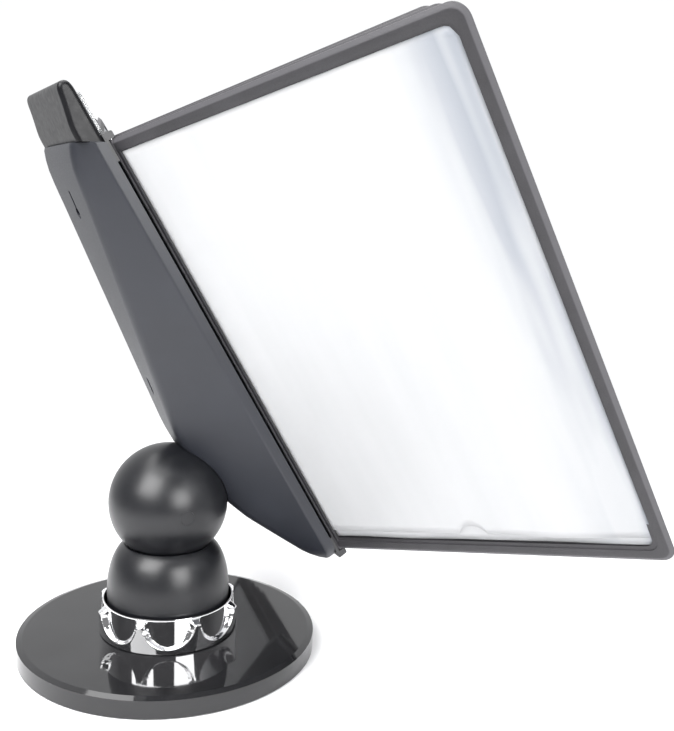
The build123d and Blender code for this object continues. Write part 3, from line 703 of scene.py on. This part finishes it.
def build_shell(settings):
    """Moulded holder with soft ridges, a ball seat and the small details of its back."""
    low, high = SHELL_STATIONS[0][0] * MM, SHELL_TOP
    end, wall = settings.end, settings.wall
    levels = [(low, end, True), (low + 0.3 * end, 0.3 * end, True), (low + end, 0.0, True)]
    levels += [(low + wall, 0.0, True), (low + wall, 0.0, False)]
    floor_high, roof_low = low + wall, high - wall
    levels += [
        (floor_high + (roof_low - floor_high) * i / SHELL_LEVELS, 0.0, False)
        for i in range(1, SHELL_LEVELS + 1)
    ]
    levels += [(roof_low, 0.0, True), (high - 0.3 * end, 0.0, True), (high, 0.4 * end, True)]
    points = []
    for height, inset, closed in levels:
        outer = shell_half(height, inset, settings)
        inner = shell_half(height, wall, settings)[::-1]
        if closed:
            inner = [Vector((p.x * 0.97, SHELL_FRONT)) for p in inner]
        points += [shell_point(p.x, height, p.y) for p in outer + inner]
    count = len(points) // len(levels)
    faces = loft_faces(len(levels), count, closed=False)
    faces += [tuple(range(count))[::-1], tuple(range(len(points) - count, len(points)))]
    shell = mesh_piece(
        "moulded_shell", points, faces, finish_of("charcoal_shell"), 32.0, fix=True
    )
    _, ball_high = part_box("ball_right")
    radius = ball_high.x + 0.4 * MM
    bpy.ops.mesh.primitive_uv_sphere_add(segments=96, ring_count=48, radius=radius)
    seat = bpy.context.object
    seat.data.transform(Matrix.Translation(ball_centre))
    tools = [seat]
    slot = 0.5 * settings.slot
    # name, height, radius, half length, and the depths the cut runs between
    cuts = (
        ("hang_slot", 203.0 * MM, slot, 5.0 * MM, 30.0 * MM, 62.0 * MM),
        ("hang_eye", 195.0 * MM, 2.2 * slot, 0.1 * MM, 30.0 * MM, 62.0 * MM),
        ("low_slot", 78.0 * MM, slot, 7.0 * MM, 10.0 * MM, 31.0 * MM),
    )
    for name, place, radius, half_length, start, stop in cuts:
        tools.append(cutter(name, capsule(0.0, place, radius, half_length), start, stop))
    for tool in tools:
        cut = shell.modifiers.new("cut", "BOOLEAN")
        cut.operation = "DIFFERENCE"
        cut.solver = "EXACT"
        cut.object = tool
        settle(shell)
    for tool in tools:
        bpy.data.objects.remove(tool)
    shell.data.set_sharp_from_angle(angle=math.radians(32.0))
    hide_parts("rear_shell")
    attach(shell, "holder")


# ------------------------------------------------------------------ pages
def page_axes(number):
    """Lower hinge corner, outward and upward directions, width and height of one page."""
    joint = joints[f"page_{number}_turn"]
    hinge = Vector(joint["pos_m"])
    rise = Vector(joint["axis"]).normalized()
    points = [v.co for v in frame["nodes"][f"page_{number}_frame"].data.vertices]
    heights = [(p - hinge).dot(rise) for p in points]
    spans = [(p - hinge) - rise * h for p, h in zip(points, heights)]
    width = max(s.length for s in spans)
    out = sum((s for s in spans if s.length > 0.9 * width), Vector()).normalized()
    return hinge + rise * min(heights), out, rise, width, max(heights) - min(heights)


def page_matrix(number):
    """Places a page drawn with x out from the hinge, y up and z towards its open side."""
    corner, out, rise, _, _ = page_axes(number)
    turn = Matrix((out, rise, out.cross(rise))).transposed().to_4x4()
    return Matrix.Translation(corner) @ turn


def rounded_outline(left, right, low, high, near, far, steps=10):
    """Points round a rectangle, with one radius beside the hinge and one outside."""
    corners = [
        (left + near, low + near, near, 180.0), (right - far, low + far, far, 270.0),
        (right - far, high - far, far, 0.0), (left + near, high - near, near, 90.0),
    ]
    points = []
    for x, y, radius, start in corners:
        for i in range(steps + 1):
            turn = math.radians(start + 90.0 * i / steps)
            points.append((x + radius * math.cos(turn), y + radius * math.sin(turn)))
    return points


def rim_section(settings):
    """Cross-section of the page's bar: (distance in from the edge, height), a closed loop."""
    half = 0.5 * settings.thickness
    bar, lip = settings.bar_width, settings.bar_width + settings.lip_width
    bevel = settings.bevel
    step = 0.58 * MM
    slot = 0.50 * MM
    upper = [
        (0.0, 0.0), (0.0, 0.22 * half), (0.5 * bevel, 0.60 * half), (0.9 * bevel, 0.94 * half),
        (1.15 * bevel, half), (bar - 0.25 * MM, half), (bar, half - 0.15 * MM),
        (bar + 0.05 * MM, step + 0.12 * MM), (bar + 0.25 * MM, step),
        (lip - 0.2 * MM, step), (lip, step - 0.06 * MM), (lip, slot), (bar + 0.5 * MM, slot),
    ]
    lower = [(d, -h) for d, h in reversed(upper[1:])]
    return upper + lower


def build_page_rim(number, settings):
    """Page frame with rounded edges, a stepped lip and a groove that holds the films."""
    _, _, _, width, height = page_axes(number)
    share = settings.hinge_bar / settings.bar_width
    points = []
    section = rim_section(settings)
    for inset, rise in section:
        corner = max(settings.corner - 0.35 * inset, 1.0 * MM)
        outline = rounded_outline(
            inset * share, width - inset, inset, height - inset, 0.8 * MM, corner
        )
        points += [(x, y, rise) for x, y in outline]
    steps = len(points) // len(section)
    rim = mesh_piece(
        f"page_{number}_rim", points, loft_faces(len(section), steps),
        finish_of("page_frame_plastic"), 30.0, fix=True,
    )
    layer = rim.data.uv_layers.new(name="UVMap")
    for loop in rim.data.loops:
        x, y, _ = rim.data.vertices[loop.vertex_index].co
        inset = min(width - x, y, height - y, x / share)
        past_side = x - (width - settings.corner)
        past_end = abs(y - 0.5 * height) - (0.5 * height - settings.corner)
        if past_side > 0.0 and past_end > 0.0:
            inset = settings.corner - math.hypot(past_side, past_end)
        layer.data[loop.index].uv = (inset / settings.bar_width, y / height)
    rim.data.transform(page_matrix(number))
    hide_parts(f"page_{number}_frame")
    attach(rim, f"page_{number}")


def film_mouth(x, settings, side):
    """Height of a film's lower edge; the reading side has a wavy mouth and a thumb notch."""
    if side < 0:
        return 10.6 * MM + 0.35 * MM * math.sin(55.0 * x + 0.6)
    wave = 0.9 * MM * math.sin(21.0 * x + 0.4) + 0.35 * MM * math.sin(63.0 * x)
    edge = settings.mouth + wave
    off = x - settings.notch_place
    if abs(off) < settings.notch_radius:
        arch = math.sqrt(settings.notch_radius**2 - off**2) + settings.mouth - 3.5 * MM
        edge = max(edge, arch)
    return edge


def build_page_films(number, settings):
    """Two pocket films with soft ripples, open along the bottom."""
    _, _, _, width, height = page_axes(number)
    left = settings.hinge_bar + 0.5 * MM
    edge = settings.bar_width + 0.8 * MM
    right, top = width - edge, height - edge
    columns, rows = 84, 56
    fine = [left + (right - left) * i / columns for i in range(columns + 1)]
    notch = [
        settings.notch_place + settings.notch_radius * math.cos(math.pi * i / 16)
        for i in range(17)
    ]
    spots = sorted(set(round(x, 6) for x in fine + notch))
    points, faces, uvs = [], [], []
    for side in (-1, 1):
        start = len(points)
        for x in spots:
            low = max(film_mouth(x, settings, side), edge)
            ceiling = top
            corner = right - x
            radius = settings.corner - 2.6 * MM
            if corner < radius:
                ceiling -= radius - math.sqrt(max(0.0, radius**2 - (radius - corner) ** 2))
            for j in range(rows + 1):
                y = low + (ceiling - low) * (j / rows)
                across_page = (x - left) / (right - left)
                up_page = (y - edge) / (top - edge)
                held = min(1.0, 6.0 * min(across_page, 1.0 - across_page, 1.0 - up_page))
                bulge = 0.35 * MM * held * math.sin(math.pi * across_page)
                ripple = 0.16 * MM * held * math.sin(46.0 * x + 5.0 * y) * math.cos(17.0 * y)
                near_edge = 0.20 * MM * held * math.exp(-((right - x) / 0.016) ** 2)
                edge_wave = near_edge * math.sin(420.0 * x + 12.0 * y)
                mouth = 0.25 * MM * math.exp(-((y - low) / 0.008) ** 2) * math.sin(80.0 * x)
                depth = 0.48 * MM + bulge + ripple + edge_wave + mouth
                points.append((x, y, side * max(depth, 0.2 * MM)))
                uvs.append((across_page, up_page))
        for i in range(len(spots) - 1):
            for j in range(rows):
                a = start + i * (rows + 1) + j
                quad = (a, a + rows + 1, a + rows + 2, a + 1)
                faces.append(quad if side > 0 else quad[::-1])
    films = mesh_piece(
        f"page_{number}_pocket", points, faces, finish_of("page_film"), 60.0
    )
    layer = films.data.uv_layers.new(name="UVMap")
    for loop in films.data.loops:
        layer.data[loop.index].uv = uvs[loop.vertex_index]
    solid = films.modifiers.new("film_thickness", "SOLIDIFY")
    solid.thickness = settings.film
    solid.offset = 0.0
    settle(films)
    films.data.transform(page_matrix(number))
    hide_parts(f"page_{number}_films")
    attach(films, f"page_{number}")


def knuckle_tree():
    """Geometry Nodes: rounded hinge knuckles spaced along a line."""
    tree = bpy.data.node_groups.new("hinge_knuckles", "GeometryNodeTree")
    face = tree.interface
    face.new_socket("Geometry", in_out="INPUT", socket_type="NodeSocketGeometry")
    for name, kind, default in (
        ("Height", "NodeSocketFloat", 0.31), ("Radius", "NodeSocketFloat", 1.8 * MM),
        ("Gap", "NodeSocketFloat", 0.4 * MM), ("Count", "NodeSocketInt", 14),
    ):
        face.new_socket(name, in_out="INPUT", socket_type=kind).default_value = default
    face.new_socket("Material", in_out="INPUT", socket_type="NodeSocketMaterial")
    face.new_socket("Geometry", in_out="OUTPUT", socket_type="NodeSocketGeometry")
    given = put(tree, "NodeGroupInput").outputs
    pitch = put(
        tree, "ShaderNodeMath", {0: given["Height"], 1: given["Count"]}, operation="DIVIDE"
    ).outputs[0]
    depth = put(tree, "ShaderNodeMath", {0: pitch, 1: given["Gap"]}, operation="SUBTRACT").outputs[0]
    half = put(tree, "ShaderNodeMath", {0: pitch, 1: 0.5}, operation="MULTIPLY").outputs[0]
    line = put(
        tree, "GeometryNodeMeshLine",
        {
            "Count": given["Count"],
            "Start Location": put(tree, "ShaderNodeCombineXYZ", {"Z": half}).outputs[0],
            "Offset": put(tree, "ShaderNodeCombineXYZ", {"Z": pitch}).outputs[0],
        },
    ).outputs[0]
    knuckle = put(
        tree, "GeometryNodeMeshCylinder",
        {"Vertices": 24, "Side Segments": 1, "Radius": given["Radius"], "Depth": depth},
    ).outputs[0]
    placed = put(
        tree, "GeometryNodeInstanceOnPoints", {"Points": line, "Instance": knuckle}
    ).outputs[0]
    real = put(tree, "GeometryNodeRealizeInstances", {"Geometry": placed}).outputs[0]
    painted = put(
        tree, "GeometryNodeSetMaterial", {"Geometry": real, "Material": given["Material"]}
    ).outputs[0]
    put(tree, "NodeGroupOutput", {0: painted})
    return tree


def node_piece(name, tree, values):
    """Runs a geometry tree with named inputs and keeps the result as a plain mesh."""
    seed = bpy.data.meshes.new(name)
    piece = bpy.data.objects.new(name, seed)
    bpy.context.scene.collection.objects.link(piece)
    modifier = piece.modifiers.new("shape", "NODES")
    modifier.node_group = tree
    sockets = {
        item.name: item.identifier
        for item in tree.interface.items_tree
        if item.item_type == "SOCKET" and item.in_out == "INPUT"
    }
    for key, value in values.items():
        modifier[sockets[key]] = value
    return settle(piece)


def build_page_hinge(number, tree):
    """The page's hinge barrel, split into knuckles along its pins."""
    _, _, _, _, height = page_axes(number)
    barrel = node_piece(
        f"page_{number}_knuckles", tree,
        {
            "Height": height, "Radius": 1.75 * MM, "Gap": 0.35 * MM, "Count": 14,
            "Material": finish_of("page_frame_plastic"),
        },
    )
    barrel.data.transform(Matrix.Rotation(math.radians(-90.0), 4, "X"))
    barrel.data.transform(page_matrix(number))
    barrel.data.polygons.foreach_set("use_smooth", [True] * len(barrel.data.polygons))
    barrel.data.set_sharp_from_angle(angle=math.radians(35.0))
    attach(barrel, f"page_{number}")


# ------------------------------------------------------------------ operators
class DISPLAY_OT_stage(bpy.types.Operator):
    """Set up the floor, the soft light and the camera"""

    bl_idname = "display.stage"
    bl_label = "Stage"

    def execute(self, context):
        build_stage(context.scene.display_stage, context.scene.display_finish.floor)
        return {"FINISHED"}


class DISPLAY_OT_finishes(bpy.types.Operator):
    """Give every fixed piece its finish"""

    bl_idname = "display.finishes"
    bl_label = "Finishes"

    def execute(self, context):
        colours = context.scene.display_finish
        finishes.update(
            {
                "gloss_black": lacquer_finish(tuple(colours.lacquer)),
                "zinc_steel": zinc_finish(),
                "cover_plastic": moulding_finish(
                    "cover_plastic", (0.022, 0.022, 0.024), (0.034, 0.034, 0.036), 0.45, 0.6
                ),
                "foot_rubber": rubber_finish(),
                "chrome_ring": chrome_finish(),
                "soft_black": soft_touch_finish(tuple(colours.soft)),
                "bearing_plastic": moulding_finish(
                    "natural_acetal", (0.66, 0.65, 0.60), (0.76, 0.75, 0.71), 0.32, 0.45
                ),
                "charcoal_shell": grained_shell_finish(tuple(colours.shell)),
                "comb_plastic": moulding_finish(
                    "comb_plastic", (0.022, 0.022, 0.024), (0.036, 0.036, 0.038), 0.38, 0.52
                ),
                "gloss_cap": cap_finish(tuple(colours.cap)),
                "clear_window": window_finish(),
                "page_frame_plastic": page_rim_finish(tuple(colours.rim)),
                "page_film": film_finish(tuple(colours.film)),
            }
        )
        ballast = ballast_finish()
        for row in frame["record"]["subparts"]:
            node = frame["nodes"][row["node"]]
            material = finish_of(row["material_slot"])
            if row["node"] == "ballast_plate":
                material = ballast
            for place in node.material_slots:
                place.material = material
        return {"FINISHED"}


class DISPLAY_OT_lock_ring(bpy.types.Operator):
    """Shape the chrome lock ring"""

    bl_idname = "display.lock_ring"
    bl_label = "Lock ring"

    def execute(self, context):
        build_lock_ring(context.scene.display_ring)
        return {"FINISHED"}


class DISPLAY_OT_shell(bpy.types.Operator):
    """Shape the moulded shell of the holder"""

    bl_idname = "display.shell"
    bl_label = "Holder shell"

    def execute(self, context):
        build_shell(context.scene.display_shell)
        return {"FINISHED"}


class DISPLAY_OT_pages(bpy.types.Operator):
    """Shape the page frames, their films and their hinges"""

    bl_idname = "display.pages"
    bl_label = "Pages"

    def execute(self, context):
        knuckles = knuckle_tree()
        for number in page_numbers:
            build_page_rim(number, context.scene.display_page)
            build_page_films(number, context.scene.display_page)
            build_page_hinge(number, knuckles)
        return {"FINISHED"}


class DISPLAY_PT_panel(bpy.types.Panel):
    """Lists the display's settings and steps"""

    bl_idname = "DISPLAY_PT_panel"
    bl_label = "Page display"
    bl_space_type = "VIEW_3D"
    bl_region_type = "UI"
    bl_category = "Page display"

    def draw(self, context):
        layout = self.layout
        for name, group in settings_groups.items():
            box = layout.box()
            for key in group.__annotations__:
                box.prop(getattr(context.scene, name), key)
        for operator in operators:
            layout.operator(operator.bl_idname)


settings_groups = {
    "display_page": PageSettings,
    "display_ring": RingSettings,
    "display_shell": ShellSettings,
    "display_finish": FinishSettings,
    "display_stage": StageSettings,
}
operators = (
    DISPLAY_OT_stage,
    DISPLAY_OT_finishes,
    DISPLAY_OT_lock_ring,
    DISPLAY_OT_shell,
    DISPLAY_OT_pages,
)


def register():
    """Makes the settings, the steps and the panel known to Blender."""
    for name, group in settings_groups.items():
        bpy.utils.register_class(group)
        setattr(bpy.types.Scene, name, bpy.props.PointerProperty(type=group))
    for kind in (*operators, DISPLAY_PT_panel):
        bpy.utils.register_class(kind)


def unregister():
    """Takes them away again."""
    for kind in reversed((*operators, DISPLAY_PT_panel)):
        bpy.utils.unregister_class(kind)
    for name, group in settings_groups.items():
        delattr(bpy.types.Scene, name)
        bpy.utils.unregister_class(group)


def main():
    """Builds the stage and every piece."""
    register()
    bpy.ops.display.stage()
    bpy.ops.display.finishes()
    bpy.ops.display.lock_ring()
    bpy.ops.display.shell()
    bpy.ops.display.pages()
    bpy.context.view_layer.update()


if __name__ == "__main__":
    main()
